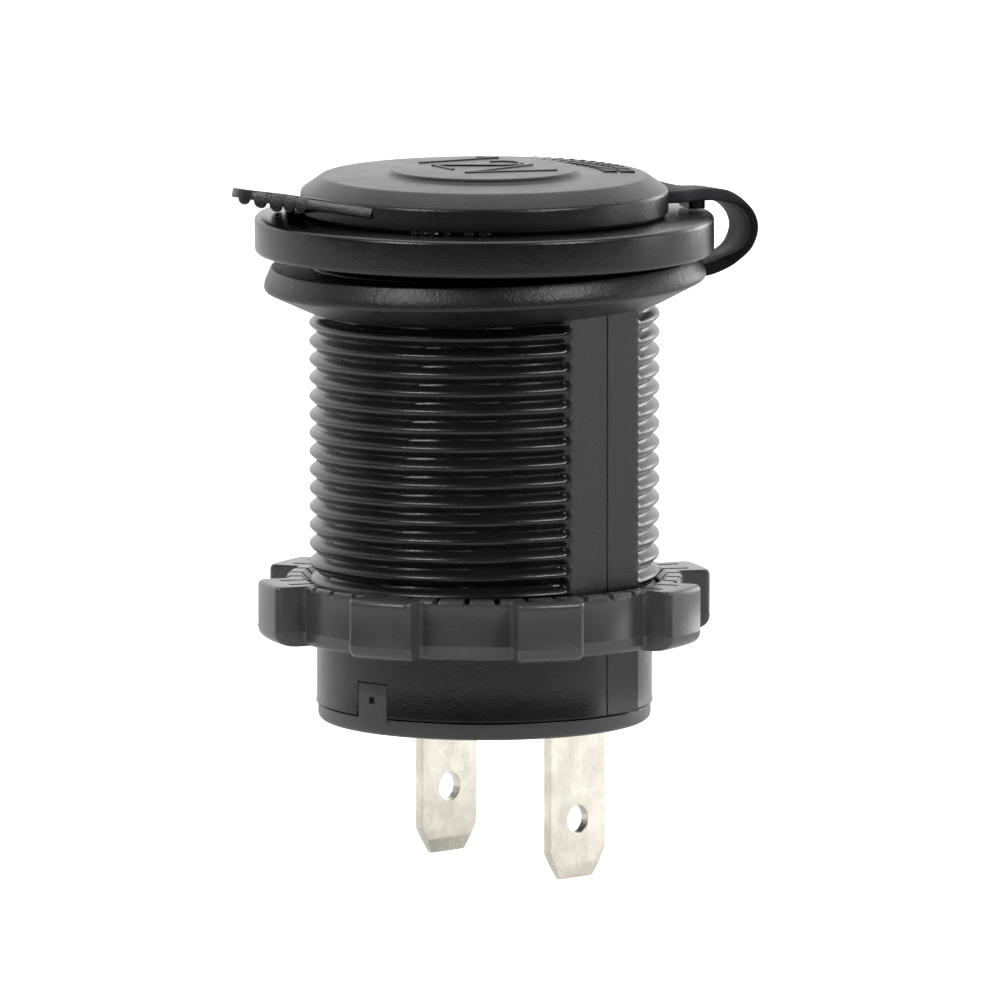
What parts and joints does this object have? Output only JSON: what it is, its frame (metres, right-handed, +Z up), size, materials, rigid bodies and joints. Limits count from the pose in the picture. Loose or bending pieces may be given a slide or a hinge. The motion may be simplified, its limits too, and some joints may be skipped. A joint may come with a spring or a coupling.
{
  "type": "12 v power socket",
  "caption": "Splash-proof 12 V panel socket with a threaded barrel, castellated ring nut, tethered rubber cap and blade terminals.",
  "frame": {"origin": "on the barrel's axis at the underside of the flange, the face that lies over the panel", "axes": "+Z up the barrel to the cap, +X towards the strap that ties the cap, +Y completes the right-handed frame"},
  "size_m": [0.0432, 0.0372, 0.0568],
  "materials": {
    "body_plastic": "moulded black nylon with a faint sheen",
    "nut_plastic": "moulded black nylon, slightly glossier than the body",
    "cap_rubber": "matte black rubber with a fine grain",
    "nickel_steel": "nickel-plated drawn steel",
    "tinned_brass": "tin-plated brass strip, warm and pale, lightly scuffed",
    "contact_brass": "turned brass",
    "fibre": "brown insulating fibre board"
  },
  "bodies": {
    "socket": {"socket_body": "body_plastic", "end_cap": "body_plastic", "contact_well": "nickel_steel", "inner_insulator": "fibre", "outer_insulator": "fibre", "centre_contact": "contact_brass", "positive_blade": "tinned_brass", "ground_blade": "tinned_brass", "ground_rivet": "nickel_steel", "sealing_ring": "cap_rubber", "cap_strap": "cap_rubber"},
    "nut": {"ring_nut": "nut_plastic"},
    "cap": {"rubber_cap": "cap_rubber"}
  },
  "joints": [
    {"name": "cap_hinge", "type": "hinge", "parent": "socket", "child": "cap", "pos_m": [0.02155, 0, 0.00165], "axis": [0, 1, 0], "range_deg": [0, 150], "deforming": ["cap_strap"]},
    {"name": "nut_travel", "type": "slide", "parent": "socket", "child": "nut", "axis": [0, 0, 1], "range_m": [-0.003, 0.021]}
  ]
}
